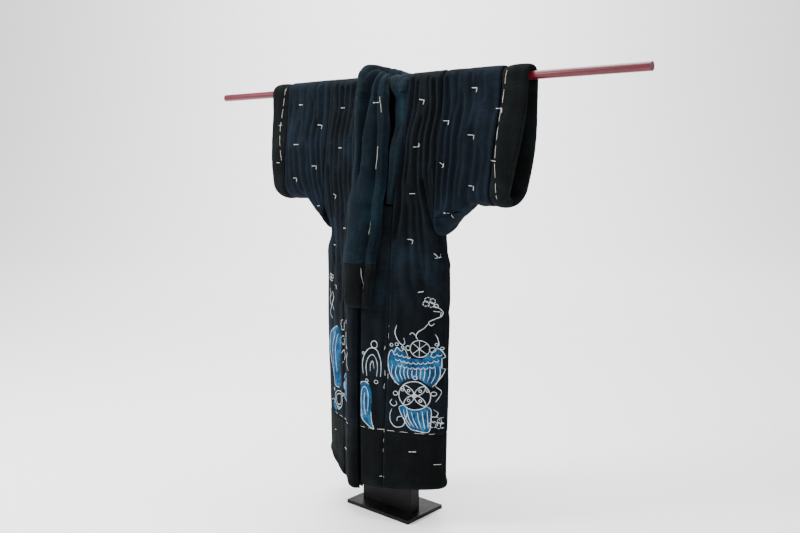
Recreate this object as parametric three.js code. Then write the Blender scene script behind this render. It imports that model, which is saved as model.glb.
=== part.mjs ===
// A padded sleeping kimono (yogi) hanging on a lacquered rod, on a board stand.
// Millimetres, +Z up. The garment faces -Y, so the wearer's left side is at +X.
// The origin is the centre of the base plate's underside.
//
// The cloth is built from two skins: the body skin, which runs from the front hem over the rod to the
// back hem, and the sleeve skin, a loop around the rod. Each sewn piece is a patch of a skin, given
// its padding by moving the patch's points inwards. What lies on the front is the same patch moved out.

import * as THREE from "three";
import { mergeVertices } from "three/addons/utils/BufferGeometryUtils.js";

// ---- driving sizes -------------------------------------------------------------------------------

const PLATE = { width: 330, depth: 214, height: 15 };
const ROD = { radius: 15, height: 1690, length: 2080, centre: 4, sides: 32 };
const POST = { width: 262, depth: 48 };
const HUNG = { x: 20, y: -22 }; // where the rod and the garment hang over the plate

const PAD = 25; // thickness of the wadded cloth
const SEAM = 0.3; // gap between sewn pieces
const ROD_CLEAR = 1; // the cloth's inside clears the rod
const OVER_ROD = ROD.radius + ROD_CLEAR + PAD; // outer radius of the cloth over the rod

const HEM = { z: 134, tip: 20, bandTop: 366 };
const BODY = { armhole: 290, wide: 314, hemWide: 300, ridge: 153, back: 115 };
const SLEEVE = { half: 70, bottom: 1245, bottomRound: 62, seam: 540, end: 646, lean: 52 };
// The gusset runs from the sleeve's bottom to the body's side, and takes a share of the sleeve's loop.
const GUSSET = { out: 420, foot: 1125, shareAtBody: 0.285, shareAtTip: 0.012 };
const OKUMI = {
  top: 1240,
  below: 870,
  leftSeam: 124,
  leftHem: 98,
  rightSeam: -118,
  edge: -14,
  tuck: 60,
  lap: 14,
};
const NECK = { half: 128, backDrop: 42 };
const COLLAR = {
  bottom: 845,
  cross: 1019,
  top: 1640,
  thick: 42,
  underThick: 26,
  underLift: 7,
  neckHalf: 22,
  neckTall: 31,
};
const CUFF_ROLL = 19; // half the thickness of the rolled cuff edge

// ---- small helpers -------------------------------------------------------------------------------

const clamp01 = (t) => Math.min(1, Math.max(0, t));
const mix = (a, b, t) => a + (b - a) * t;
const smooth = (t) => clamp01(t) ** 2 * (3 - 2 * clamp01(t));
const ramp = (x, from, to) => smooth((x - from) / (to - from));
const settle = (drop, reach) => 1 - Math.exp(-Math.max(0, drop) / reach);
const bump = (x, at, reach) => smooth(1 - Math.abs(x - at) / reach);
const quarterRound = (t) => Math.sqrt(1 - (1 - clamp01(t)) ** 2);
const steps = (n, from = 0, to = 1) => Array.from({ length: n + 1 }, (_, i) => mix(from, to, i / n));
const bezier = (a, b, c, d, t) =>
  a * (1 - t) ** 3 + 3 * b * t * (1 - t) ** 2 + 3 * c * t * t * (1 - t) + d * t ** 3;

// Six times the volume inside the triangles, negative when they face inwards.
function signedVolume(positions, indices) {
  const corner = (k) => new THREE.Vector3().fromArray(positions, indices[k] * 3);
  let sum = 0;
  for (let k = 0; k < indices.length; k += 3) sum += corner(k).dot(corner(k + 1).cross(corner(k + 2)));
  return sum;
}

// A mesh of one closed body, turned so that its faces point out.
function finish(name, material, positions, indices) {
  if (signedVolume(positions, indices) < 0) indices.reverse();
  const raw = new THREE.BufferGeometry();
  raw.setAttribute("position", new THREE.Float32BufferAttribute(positions, 3));
  raw.setIndex(indices);
  const geometry = mergeVertices(raw, 1e-4);
  geometry.computeVertexNormals();
  const mesh = new THREE.Mesh(geometry, material.clone());
  mesh.name = name;
  return mesh;
}

// A closed wall between two grids of points of the same size.
function wall(name, material, outer, inner) {
  const rows = outer.length;
  const cols = outer[0].length;
  const positions = [];
  for (const p of [outer, inner].flat(2)) positions.push(p.x, p.y, p.z);
  const at = (layer, i, j) => layer * rows * cols + i * cols + j;
  const indices = [];
  const quad = (a, b, c, d) => indices.push(a, b, c, a, c, d);
  for (let i = 0; i < rows - 1; i++)
    for (let j = 0; j < cols - 1; j++) {
      quad(at(0, i, j), at(0, i + 1, j), at(0, i + 1, j + 1), at(0, i, j + 1));
      quad(at(1, i, j), at(1, i, j + 1), at(1, i + 1, j + 1), at(1, i + 1, j));
    }
  for (let i = 0; i < rows - 1; i++) {
    quad(at(0, i, 0), at(1, i, 0), at(1, i + 1, 0), at(0, i + 1, 0));
    quad(at(1, i + 1, cols - 1), at(1, i, cols - 1), at(0, i, cols - 1), at(0, i + 1, cols - 1));
  }
  for (let j = 0; j < cols - 1; j++) {
    quad(at(0, 0, j + 1), at(1, 0, j + 1), at(1, 0, j), at(0, 0, j));
    quad(at(1, rows - 1, j), at(1, rows - 1, j + 1), at(0, rows - 1, j + 1), at(0, rows - 1, j));
  }
  return finish(name, material, positions, indices);
}

// A closed tube of rings, each ring a list of points, with flat fans over both ends.
function lofted(name, material, rings) {
  const n = rings[0].length;
  const positions = rings.flat().flatMap((p) => [p.x, p.y, p.z]);
  const indices = [];
  for (let i = 0; i < rings.length - 1; i++)
    for (let j = 0; j < n; j++) {
      const k = (j + 1) % n;
      indices.push(i * n + j, (i + 1) * n + j, (i + 1) * n + k, i * n + j, (i + 1) * n + k, i * n + k);
    }
  const last = (rings.length - 1) * n;
  for (let j = 1; j < n - 1; j++) {
    indices.push(0, j, j + 1);
    indices.push(last, last + j + 1, last + j);
  }
  return finish(name, material, positions, indices);
}

// A closed tube of rings whose last ring meets its first.
function looped(name, material, rings) {
  const n = rings[0].length;
  const positions = rings.flat().flatMap((p) => [p.x, p.y, p.z]);
  const indices = [];
  for (let i = 0; i < rings.length; i++)
    for (let j = 0; j < n; j++) {
      const a = i * n;
      const b = ((i + 1) % rings.length) * n;
      const k = (j + 1) % n;
      indices.push(a + j, b + j, b + k, a + j, b + k, a + k);
    }
  return finish(name, material, positions, indices);
}

// ---- the body skin -------------------------------------------------------------------------------

// The garment's middle drifts a little to the wearer's right as it hangs.
const middle = (z) => -22 - 22 * ramp(z, 1650, 1000);
const skirtHalf = (z) => mix(BODY.hemWide, BODY.wide, ramp(z, HEM.z, 820));
const halfWidth = (z) =>
  z > GUSSET.foot ? BODY.armhole : mix(BODY.armhole, skirtHalf(z), ramp(z, GUSSET.foot, GUSSET.foot - 90));
const ridge = (z) => OVER_ROD + (BODY.ridge - OVER_ROD) * settle(ROD.height - z, 270);
const backOut = (z) => OVER_ROD + (BODY.back - OVER_ROD) * settle(ROD.height - z, 300);

// Half the sleeve's depth at a height, without and with the rounding of a bottom at zBottom.
const sleeveDepth = (z) => OVER_ROD + (SLEEVE.half - OVER_ROD) * ramp(ROD.height - z, 0, 320);
const sleeveHalf = (z, zBottom) => sleeveDepth(z) * quarterRound((z - zBottom) / SLEEVE.bottomRound);

// A point of the body skin. side is +1 or -1, u runs from the middle (0) to the side seam or the
// armhole (1), face is -1 in front and +1 behind. Below the gusset the faces meet in a side fold.
function facePoint(side, u, z, face) {
  const w = halfWidth(z);
  const open = ramp(z, GUSSET.foot - 70, GUSSET.foot + 130);
  const centreOut = face < 0 ? ridge(z) : backOut(z);
  const depth = sleeveDepth(z);
  const notch = (depth - sleeveHalf(z, GUSSET.foot)) * ramp(u, 0.76, 1);
  const closed = bezier(centreOut, centreOut, centreOut * (face < 0 ? 0.42 : 0.55), 0, u);
  const opened = bezier(centreOut, centreOut, depth, depth, u) - notch;
  const x = bezier(0, w * (face < 0 ? 0.22 : 0.5), mix(w, w * 0.8, open), w, u);
  return new THREE.Vector3(middle(z) + side * x, face * mix(closed, opened, open), z);
}

// s runs along the strip: below 0 it is the drop down the front, 0 to 1 goes over the rod, above 1
// it is 1 + the drop down the back.
const DROP = 1000;
function bodyPoint(side, u, s) {
  if (s < 0) return facePoint(side, u, ROD.height + s * DROP, -1);
  if (s > 1) return facePoint(side, u, ROD.height - (s - 1) * DROP, 1);
  const p = facePoint(side, u, ROD.height, -1);
  const turn = Math.PI * s;
  return new THREE.Vector3(p.x, -OVER_ROD * Math.cos(turn), ROD.height + OVER_ROD * Math.sin(turn));
}

function bodyNormal(side, u, s) {
  const turn = Math.PI * s;
  if (s >= 0 && s <= 1) return new THREE.Vector3(0, -Math.cos(turn), Math.sin(turn));
  const face = s < 0 ? -1 : 1;
  const step = 1e-3;
  const reach = 0.012;
  const towardTop = face < 0 ? Math.min(0, s + reach) : Math.max(1, s - reach);
  const across = bodyPoint(side, Math.min(1, u + step), s).sub(bodyPoint(side, Math.max(0, u - step), s));
  const along = bodyPoint(side, u, s + face * reach).sub(bodyPoint(side, u, towardTop));
  const normal = across.cross(along).normalize();
  return normal.x * side + normal.y * face < 0 ? normal.negate() : normal;
}

const sFront = (z) => (z - ROD.height) / DROP;
const sBack = (z) => 1 + (ROD.height - z) / DROP;

// The share u of the skin at which x is reached, by halving.
function uAtX(x, z, face) {
  const side = x < middle(z) ? -1 : 1;
  let low = 0;
  let high = 1;
  for (let i = 0; i < 40; i++) {
    const u = (low + high) / 2;
    if (Math.abs(facePoint(side, u, z, face).x - middle(z)) < Math.abs(x - middle(z))) low = u;
    else high = u;
  }
  return { side, u: (low + high) / 2 };
}

// The front skin at x and z, moved out by lift.
function frontAt(x, z, lift) {
  const { side, u } = uAtX(x, z, -1);
  const p = facePoint(side, u, z, -1);
  return p.addScaledVector(bodyNormal(side, u, sFront(z)), lift);
}

// ---- seam lines, as distances from the garment's middle --------------------------------------------

const lineOf = (...points) => (z) => {
  const k = points.findIndex((p) => z >= p[0]);
  if (k === 0) return points[0][1];
  if (k < 0) return points[points.length - 1][1];
  const [z1, x1] = points[k - 1];
  const [z0, x0] = points[k];
  return mix(x0, x1, smooth((z - z0) / (z1 - z0)));
};
const leftSeam = lineOf(
  [ROD.height, NECK.half - 8],
  [1560, 140],
  [1400, 144],
  [OKUMI.top, OKUMI.leftSeam],
  [900, OKUMI.leftSeam],
  [HEM.z, OKUMI.leftHem],
);
const rightSeam = lineOf(
  [ROD.height, 8 - NECK.half],
  [1540, -76],
  [1400, -42],
  [OKUMI.top, -34],
  [960, -108],
  [900, OKUMI.rightSeam],
);
const overLeft = lineOf([1650, -118], [1400, -64], [1150, -48], [1019, -60], [COLLAR.bottom, -52]);
const overRight = lineOf([1650, 52], [1500, 84], [1330, 96], [1150, 94], [1019, 78], [COLLAR.bottom, 60]);
// The hem line, lowest at the tip of the top front and rising to the wearer's right side.
const hemFront = (rel) =>
  rel > OKUMI.edge ? HEM.z + 12 * ramp(rel, 120, 300) : HEM.z - HEM.tip + 62 * ramp(-rel, 40, 300);
const hemBack = (rel) => 160 - 16 * ramp(rel, -300, 300);

// ---- sewn pieces on the body skin ----------------------------------------------------------------

const NAVY = new THREE.MeshStandardMaterial({ color: 0x18212b, roughness: 0.95, metalness: 0 });
const INDIGO = new THREE.MeshStandardMaterial({ color: 0x162029, roughness: 0.95, metalness: 0 });
const COLLAR_CLOTH = new THREE.MeshStandardMaterial({ color: 0x1a2c34, roughness: 0.95, metalness: 0 });
const BLACK_CLOTH = new THREE.MeshStandardMaterial({ color: 0x15191b, roughness: 0.95, metalness: 0 });
const LACQUER = new THREE.MeshStandardMaterial({ color: 0xa01f38, roughness: 0.25, metalness: 0 });
const BLACK_PAINT = new THREE.MeshStandardMaterial({ color: 0x131314, roughness: 0.5, metalness: 0 });

const SIDE_EDGE = 0.9985; // leaves half a seam's gap at the side seam and at the armhole
const BACK_EDGE = 0.0005; // the same at the centre back seam

// The inner edge of a body strip, as a share of the skin.
function innerEdge(side, s) {
  const aroundTop = (s - 0.5) * Math.PI * OVER_ROD;
  if (s <= 0) {
    const z = ROD.height + s * DROP;
    const seam = side > 0 ? leftSeam(z) : rightSeam(z);
    return uAtX(middle(z) + seam + side * 2 * SEAM, z, -1).u;
  }
  const reach = Math.PI * 0.5 * OVER_ROD + NECK.backDrop;
  const past = s > 1 ? Math.PI * 0.5 * OVER_ROD + (s - 1) * DROP : aroundTop;
  const half = past < 0 ? mix(NECK.half, NECK.half - 8, -past / (Math.PI * 0.5 * OVER_ROD)) : 0;
  const x = past < 0 ? half + SEAM : NECK.half * Math.sqrt(Math.max(0, 1 - (past / reach) ** 2)) + SEAM;
  const z = Math.min(ROD.height, s > 1 ? ROD.height - (s - 1) * DROP : ROD.height);
  return Math.max(BACK_EDGE, uAtX(middle(z) + side * x, z, s > 1 ? 1 : -1).u);
}

// A grid of skin points and the same grid moved in by the padding, for a strip of the body.
function bodyStrip(name, material, side, rows, cols, from, to) {
  const outer = [];
  const inner = [];
  for (const s of rows) {
    const us = steps(cols, from(s), to(s));
    outer.push(us.map((u) => bodyPoint(side, u, s)));
    inner.push(us.map((u) => bodyPoint(side, u, s).addScaledVector(bodyNormal(side, u, s), -PAD)));
  }
  return wall(name, material, outer, inner);
}

const lowRows = [500, 640, 780, 900, 1010, 1080, 1110, GUSSET.foot, 1127, 1133, 1145, 1165, 1200];
const okumiRows = [HEM.bandTop + SEAM / 2, ...lowRows, OKUMI.top - 3];
const underRows = [OKUMI.top + 3, 1340, 1430, 1520, 1590, COLLAR.top];
const frontRows = [...okumiRows, ...underRows, 1670];
const upperBackRows = [1680, 1670, 1663, 1659, 1630, 1560, 1470, 1370, 1270];
const backRows = [...upperBackRows, ...lowRows.toReversed(), okumiRows[0]];

function bodyPiece(side) {
  const rows = [...frontRows.map(sFront), ...steps(10), ...backRows.map(sBack)];
  const name = side > 0 ? "body_left" : "body_right";
  return bodyStrip(name, INDIGO, side, rows, 9, (s) => innerEdge(side, s), () => SIDE_EDGE);
}

// A piece laid on the front skin between two lines, with its under and upper side lifted off it.
// rows are heights, or heights as a function of the distance from the middle.
function laid(name, material, rows, xFrom, xTo, cols, under, upper) {
  const grid = (lift) =>
    rows.map((row) =>
      steps(cols).map((t) => {
        const nominal = typeof row === "number" ? row : row(0);
        const rel = mix(xFrom(nominal), xTo(nominal), t);
        const z = typeof row === "number" ? row : row(rel);
        return frontAt(middle(z) + rel, z, lift(rel, z));
      }),
    );
  return wall(name, material, grid(upper), grid(under));
}

// The front edge of the wearer's right front lies on top, so its overlap stands out by the lap and
// the left front's overlap dips under it.
const slant = (z, edge, seam) => mix(edge, seam, ramp(z, OKUMI.below, OKUMI.top));
const okumiEdge = (z) => slant(z, OKUMI.edge, OKUMI.edge - 8);
const tuckedEdge = (z) => slant(z, OKUMI.edge - OKUMI.tuck, OKUMI.leftSeam - 52);
const okumiLift = (rel) => OKUMI.lap * ramp(rel, OKUMI.rightSeam, OKUMI.edge - 20);
const tuckedLift = (rel) => (okumiLift(rel) - PAD - 6) * ramp(-rel, -OKUMI.edge - 22, -OKUMI.edge - 2);

const bandRows = (hem) => steps(3).map((t) => (rel) => mix(hem(rel), HEM.bandTop - SEAM / 2, t));

const okumiPieces = [
  ["okumi", INDIGO, okumiRows],
  ["hem_okumi", BLACK_CLOTH, bandRows(hemFront)],
].flatMap(([name, cloth, rows]) => {
  const fromSeam = (z) => rightSeam(z) + SEAM;
  const toSeam = (z) => leftSeam(z) - SEAM;
  return [
    laid(`${name}_right`, cloth, rows, fromSeam, okumiEdge, 5, (r) => okumiLift(r) - PAD, okumiLift),
    laid(`${name}_left`, cloth, rows, tuckedEdge, toSeam, 7, (r) => tuckedLift(r) - PAD, tuckedLift),
  ];
});

// The hem bands of the body strips, front and back.
function hemPiece(side, face) {
  const word = side > 0 ? "left" : "right";
  const hem = face < 0 ? hemFront : hemBack;
  const grid = (depth) =>
    steps(3).map((t) => {
      const nominal = mix(hem(0), HEM.bandTop - SEAM / 2, t);
      const from = face < 0 ? innerEdge(side, sFront(nominal)) : BACK_EDGE;
      return steps(6, from, SIDE_EDGE).map((u) => {
        const rel = facePoint(side, u, nominal, face).x - middle(nominal);
        const z = mix(hem(rel), HEM.bandTop - SEAM / 2, t);
        const s = face < 0 ? sFront(z) : sBack(z);
        return bodyPoint(side, u, s).addScaledVector(bodyNormal(side, u, s), -depth);
      });
    });
  return wall(`hem_${face < 0 ? "front" : "back"}_${word}`, BLACK_CLOTH, grid(0), grid(PAD));
}

// ---- sleeves, gussets and cuffs ------------------------------------------------------------------

const gussetRun = (x) => clamp01((x - BODY.armhole) / (GUSSET.out - BODY.armhole));
const sleeveBottom = (x) => mix(GUSSET.foot, SLEEVE.bottom, gussetRun(x));

const RING_SPREAD = 1.6; // above 1, it gathers the loop's points toward the rounded bottom

// A point of the sleeve's loop, x from the garment's middle. q is 0 at the bottom, -1 in front at
// the rod's height, 1 behind at the same height, and -1.5 and 1.5 both at the top.
function ringPoint(side, x, q) {
  const face = q < 0 ? -1 : 1;
  const share = Math.min(1, Math.abs(q));
  const bottom = sleeveBottom(x);
  const z = bottom + (ROD.height - bottom) * share ** RING_SPREAD;
  const over = Math.max(0, Math.abs(q) - 1) * Math.PI;
  if (over > 0) {
    const top = ROD.height + OVER_ROD * Math.sin(over);
    return new THREE.Vector3(middle(ROD.height) + side * x, face * OVER_ROD * Math.cos(over), top);
  }
  const out = clamp01((x - BODY.armhole) / (SLEEVE.end - BODY.armhole));
  const lean = SLEEVE.lean * out ** 3 * ((ROD.height - z) / (ROD.height - SLEEVE.bottom)) ** 2;
  const y = face * Math.max(SEAM / 2, sleeveHalf(z, bottom));
  return new THREE.Vector3(middle(z) + side * (x - lean), y, z);
}

// The same point moved in, square to the loop.
function ringInset(side, x, q, depth) {
  const p = ringPoint(side, x, q);
  const step = 1e-3;
  const before = ringPoint(side, x, Math.max(-1.4999, q - step));
  const after = ringPoint(side, x, Math.min(1.4999, q + step));
  const out = new THREE.Vector3(0, after.z - before.z, before.y - after.y).normalize();
  const heart = Math.min(ROD.height, Math.max(sleeveBottom(x) + SLEEVE.bottomRound, p.z));
  if (out.y * p.y + out.z * (p.z - heart) < 0) out.negate();
  return p.addScaledVector(out, -depth);
}

// The share of the loop that the gusset takes on each face.
const gussetShare = (x) => mix(GUSSET.shareAtBody, GUSSET.shareAtTip, gussetRun(x));
const EDGE_SHARE = 0.002;
const gussetRows = [320, 350, 385];

function loopShares(x) {
  const from = x <= GUSSET.out ? gussetShare(x) + EDGE_SHARE : 1e-4;
  const up = [...steps(11, from, 1), ...steps(5, 1, 1.5).slice(1)];
  return [...up.map((q) => -q), ...up.slice(0, -1).reverse()];
}

function sleevePiece(side) {
  const xs = [BODY.armhole + SEAM, ...gussetRows, GUSSET.out, GUSSET.out + 4, 480, SLEEVE.seam - SEAM / 2];
  const grid = (depth) => xs.map((x) => loopShares(x).map((q) => ringInset(side, x, q, depth)));
  const name = side > 0 ? "sleeve_left" : "sleeve_right";
  return wall(name, NAVY, grid(0), grid(PAD));
}

function gussetPiece(side) {
  const xs = [BODY.armhole + 2 * SEAM, ...gussetRows, GUSSET.out - 2 * SEAM];
  const grid = (depth) =>
    xs.map((x) => steps(8, -gussetShare(x), gussetShare(x)).map((q) => ringInset(side, x, q, depth)));
  const name = side > 0 ? "gusset_left" : "gusset_right";
  return wall(name, NAVY, grid(0), grid(PAD));
}

// The cuff band: a wall whose end is rolled, thicker below than over the rod. Its section is a list
// of distances out along the sleeve and in from the outer face.
function cuffPiece(side) {
  const start = SLEEVE.seam + 4 * SEAM;
  const roll = (z) => CUFF_ROLL * 2 - (CUFF_ROLL * 2 - PAD) * ramp(z, 1500, 1650);
  const section = (z) => [
    [start, 0],
    [SLEEVE.end - 30, -2],
    [SLEEVE.end - 10, 1],
    [SLEEVE.end, roll(z) * 0.35],
    [SLEEVE.end, roll(z) * 0.65],
    [SLEEVE.end - 10, roll(z) - 1],
    [SLEEVE.end - 30, roll(z)],
    [start, PAD],
  ];
  const up = [...steps(11, 0.02, 1), ...steps(5, 1, 1.5).slice(1)];
  const shares = [...up.map((q) => -q), ...up.slice(0, -1).reverse()];
  const rings = shares.map((q) => {
    const z = ringPoint(side, SLEEVE.end, q).z;
    return section(z).map(([x, depth]) => ringInset(side, x, q, depth));
  });
  return looped(side > 0 ? "cuff_left" : "cuff_right", BLACK_CLOTH, rings);
}

// ---- collar --------------------------------------------------------------------------------------

const underCollar = (z) => mix(OKUMI.lap + 1.2, 0.8, ramp(z, OKUMI.top + 4, OKUMI.top + 70));
function overCollar(name, material, rows) {
  const crown = (rel, z) => {
    const t = (rel - overLeft(z)) / (overRight(z) - overLeft(z));
    return underCollar(z) + COLLAR.thick * (1 - 0.75 * Math.abs(2 * t - 1) ** 3);
  };
  return laid(name, material, rows, overLeft, overRight, 6, (r, z) => underCollar(z), crown);
}

// The collar around the back of the neck stands inside the neckline. Its path is given from the middle.
const neckPath = new THREE.CatmullRomCurve3(
  [
    [-74, -70, COLLAR.top + 16],
    [-80, -62, 1690],
    [-94, -45, 1724],
    [-101, -5, 1743],
    [-80, 36, 1734],
    [-42, 52, 1720],
    [0, 55, 1710],
    [42, 52, 1708],
    [78, 36, 1714],
    [98, 0, 1723],
    [94, -42, 1712],
    [84, -62, 1690],
    [76, -70, COLLAR.top + 16],
  ].map(([x, y, z]) => new THREE.Vector3(middle(z) + x, y, z)),
);

function neckRoll() {
  const sides = 10;
  const rings = steps(24).map((t) => {
    const at = neckPath.getPoint(t);
    const along = neckPath.getTangent(t);
    const tall = COLLAR.neckTall * (1 - 0.5 * ramp(t, 0.5, 0.75)) + 14 * bump(t, 0.45, 0.3);
    const across = new THREE.Vector3(at.x - middle(at.z), at.y, 0).cross(along).cross(along).normalize();
    const up = along.clone().cross(across).normalize();
    return steps(sides)
      .slice(1)
      .map((k) =>
        at
          .clone()
          .addScaledVector(across, COLLAR.neckHalf * Math.cos(2 * Math.PI * k))
          .addScaledVector(up, tall * Math.sin(2 * Math.PI * k)),
      );
  });
  return lofted("collar_neck", COLLAR_CLOTH, rings);
}

const collarRows = [COLLAR.cross + SEAM / 2, 1090, 1165, OKUMI.top - 3, ...underRows];
const coverRows = [COLLAR.bottom, 890, 950, COLLAR.cross - SEAM / 2];

// ---- the stand and the rod -----------------------------------------------------------------------

const HEAD = { width: 120, depth: 26, bottom: 1600 };

function box(name, material, width, depth, from, to, y) {
  const mesh = new THREE.Mesh(new THREE.BoxGeometry(width, depth, to - from), material.clone());
  mesh.name = name;
  mesh.position.set(0, y, (from + to) / 2);
  return mesh;
}

function rod() {
  const shape = new THREE.CylinderGeometry(ROD.radius, ROD.radius, ROD.length, ROD.sides);
  const bar = new THREE.Mesh(shape, LACQUER);
  bar.name = "rod";
  bar.rotation.z = Math.PI / 2;
  bar.position.set(ROD.centre, 0, ROD.height);
  return bar;
}

// ---- assembly ------------------------------------------------------------------------------------

const garment = new THREE.Group();
garment.position.set(HUNG.x, HUNG.y, 0);
for (const side of [1, -1]) {
  garment.add(bodyPiece(side), sleevePiece(side), gussetPiece(side), cuffPiece(side));
  garment.add(hemPiece(side, -1), hemPiece(side, 1));
}
garment.add(...okumiPieces);
garment.add(overCollar("collar_over", COLLAR_CLOTH, collarRows));
garment.add(overCollar("collar_cover", BLACK_CLOTH, coverRows));
garment.add(
  laid(
    "collar_under",
    COLLAR_CLOTH,
    underRows,
    (z) => overRight(z) + 1,
    (z) => leftSeam(z) - SEAM,
    3,
    () => COLLAR.underLift - COLLAR.underThick,
    () => COLLAR.underLift,
  ),
);
garment.add(neckRoll(), rod());

const group = new THREE.Group();
group.add(garment);
group.add(box("base_plate", BLACK_PAINT, PLATE.width, PLATE.depth, 0, PLATE.height, 0));
group.add(box("post", BLACK_PAINT, POST.width, POST.depth, PLATE.height + SEAM, HEAD.bottom, HUNG.y));
const headTop = ROD.height - ROD.radius - SEAM;
group.add(box("post_head", BLACK_PAINT, HEAD.width, HEAD.depth, HEAD.bottom + SEAM, headTop, HUNG.y));

export default group;
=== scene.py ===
# A padded sleeping kimono hung by its sleeves on a red lacquered rod over a black stand.
# Skins are worked out in millimetres and turned to metres as each vertex is placed.
import bpy
import bmesh
import math
from mathutils import Matrix, Vector, noise
from mathutils.bvhtree import BVHTree

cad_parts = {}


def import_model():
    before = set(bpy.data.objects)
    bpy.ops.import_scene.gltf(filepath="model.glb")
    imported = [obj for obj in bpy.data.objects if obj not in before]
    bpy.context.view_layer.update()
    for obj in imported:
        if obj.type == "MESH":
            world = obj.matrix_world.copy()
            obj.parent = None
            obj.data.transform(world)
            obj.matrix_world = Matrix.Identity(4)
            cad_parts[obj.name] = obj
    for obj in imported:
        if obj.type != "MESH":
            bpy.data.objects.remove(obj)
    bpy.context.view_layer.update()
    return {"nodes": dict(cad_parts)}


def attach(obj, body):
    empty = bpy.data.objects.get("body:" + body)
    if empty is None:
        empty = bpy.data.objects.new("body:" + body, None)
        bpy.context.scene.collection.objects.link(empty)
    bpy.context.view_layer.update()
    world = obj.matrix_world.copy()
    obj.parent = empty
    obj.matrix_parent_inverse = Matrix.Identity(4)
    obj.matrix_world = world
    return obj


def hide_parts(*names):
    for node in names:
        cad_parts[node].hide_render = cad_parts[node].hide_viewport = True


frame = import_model()

# ---- sizes in millimetres ----
HUNG_X = 20
HUNG_Y = -22
ROD_Z = 1690
OVER_ROD = 41
DROP = 1000
PAD = 22
FOOT = 1125
BAND_TOP = 366
ARMHOLE = 290
GUSSET_OUT = 420
SLEEVE_SEAM = 540
SLEEVE_END = 646
NECK_HALF = 128
NECK_DROP = 42
NECK_FOLD = 1640
COLLAR_FOOT = 845
COVER_TOP = 1019
COLLAR_TOP = 1752
UNDER_FOOT = 1243.5
UNDER_TOP = 1748
OKUMI_TOP = 1237
ROUND = 62        # the height over which the lower edge of a sleeve or an armhole rounds in
NEAR_SEAM = 0.9985        # how far across its half of the body a strip reaches
HEM_TOP = BAND_TOP - 0.3
TOP_OF_RING = 1.5        # a sleeve's ring runs from 0 below, past 1 at the rod, to here on top


# ---- curves ----
def clamp(t):
    return max(0.0, min(1.0, t))


def mix(a, b, t):
    return a + (b - a) * t


def smooth(t):
    t = clamp(t)
    return t * t * (3 - 2 * t)


def ramp(x, start, end):
    return smooth((x - start) / (end - start))


def bump(x, at, reach):
    return smooth(1 - abs(x - at) / reach)


def settle(drop, reach):
    return 1 - math.exp(-max(0, drop) / reach)


def quarter_round(t):
    return math.sqrt(1 - (1 - clamp(t)) ** 2)


def bezier(a, b, c, d, t):
    r = 1 - t
    return a * r * r * r + 3 * b * r * r * t + 3 * c * r * t * t + d * t * t * t


def line_of(*points):
    """A smooth function of the height through (height, value) points given from the top down."""
    def at(z):
        if z >= points[0][0]:
            return points[0][1]
        for (z1, x1), (z0, x0) in zip(points, points[1:]):
            if z >= z0:
                return mix(x0, x1, smooth((z - z0) / (z1 - z0)))
        return points[-1][1]
    return at


# ---- the skin of the body and of the sleeves, in the garment's own millimetres ----
def middle(z):
    return -22 - 22 * ramp(z, 1650, 1000)


def half_width(z):
    if z > FOOT:
        return ARMHOLE
    return mix(ARMHOLE, mix(300, 314, ramp(z, 134, 820)), ramp(z, FOOT, FOOT - 90))


def sleeve_depth(z):
    return OVER_ROD + 29 * ramp(ROD_Z - z, 0, 320)


def sleeve_half(z, bottom):
    return sleeve_depth(z) * quarter_round((z - bottom) / ROUND)


def face_point(side, u, z, face):
    """The skin in front (face -1) or behind (1): u runs from the middle to the side seam."""
    w = half_width(z)
    opening = ramp(z, FOOT - 70, FOOT + 130)
    reach = (112, 270) if face < 0 else (74, 300)
    centre = OVER_ROD + reach[0] * settle(ROD_Z - z, reach[1])
    depth = sleeve_depth(z)
    notch = (depth - sleeve_half(z, FOOT)) * ramp(u, 0.76, 1)
    closed = bezier(centre, centre, centre * (0.42 if face < 0 else 0.55), 0, u)
    opened = bezier(centre, centre, depth, depth, u) - notch
    x = bezier(0, w * (0.22 if face < 0 else 0.5), mix(w, w * 0.8, opening), w, u)
    return Vector((middle(z) + side * x, face * mix(closed, opened, opening), z))


def body_point(side, u, s):
    """The skin along a strip: s runs up the front to 0, over the rod to 1, and down the back."""
    if s < 0:
        return face_point(side, u, ROD_Z + s * DROP, -1)
    if s > 1:
        return face_point(side, u, ROD_Z - (s - 1) * DROP, 1)
    p = face_point(side, u, ROD_Z, -1)
    turn = math.pi * s
    return Vector((p.x, -OVER_ROD * math.cos(turn), ROD_Z + OVER_ROD * math.sin(turn)))


def u_at(x, z, face):
    side = -1 if x < middle(z) else 1
    low, high = 0.0, 1.0
    for _ in range(18):
        u = (low + high) / 2
        if abs(face_point(side, u, z, face).x - middle(z)) < abs(x - middle(z)):
            low = u
        else:
            high = u
    return side, (low + high) / 2


# Lines down the front: height, and distance from the middle, with the wearer's left above zero.
left_seam = line_of((1690, 120), (1560, 140), (1400, 144), (1240, 124), (900, 124), (134, 98))
right_seam = line_of((1690, -120), (1540, -76), (1400, -42), (1240, -34), (960, -108), (900, -118))
over_left = line_of((1745, -92), (1690, -108), (1650, -118), (1400, -64), (1150, -48), (1019, -60),
                    (845, -52))
over_right = line_of((1745, 8), (1690, 38), (1650, 52), (1500, 84), (1330, 96), (1150, 94), (1019, 78),
                     (845, 60))


def hem_front(rel):
    if rel > -14:
        return 134 + 12 * ramp(rel, 120, 300)
    return 114 + 62 * ramp(-rel, 40, 300)


def hem_back(rel):
    return 160 - 16 * ramp(rel, -300, 300)


def slant(z, below, above):
    return mix(below, above, ramp(z, 870, 1240))


def okumi_lift(rel):
    return 14 * ramp(rel, -118, -34)


def tucked_lift(rel):
    return (okumi_lift(rel) - 31) * ramp(-rel, -8, 12)


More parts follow.
